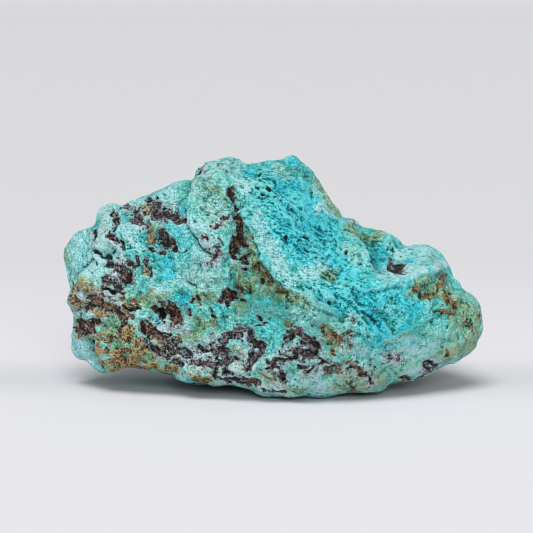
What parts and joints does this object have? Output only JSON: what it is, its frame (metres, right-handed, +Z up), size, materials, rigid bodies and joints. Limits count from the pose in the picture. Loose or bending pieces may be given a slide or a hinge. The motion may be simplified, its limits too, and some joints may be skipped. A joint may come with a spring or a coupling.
{
  "type": "raw chrysocolla stone",
  "caption": "Rough broken lump of raw chrysocolla, blue-green copper mineral with dark matrix veins and a rusty brown crust, resting on a flat underside.",
  "frame": {"origin": "centre of the bounding box in X and Y, on the flat face that the stone rests on", "axes": "+Z up from the resting face; +X along the stone's length, to the right of its front; the front, with the crest and the deep blue slope, faces -Y"},
  "size_m": [0.0847, 0.0438, 0.0461],
  "materials": {
    "chrysocolla": "dull, chalky blue-green crust with dark brown matrix, lilac-grey dust and ochre stains; a broken, unpolished surface"
  },
  "bodies": {
    "root": {"chrysocolla_stone": "chrysocolla"}
  },
  "joints": []
}
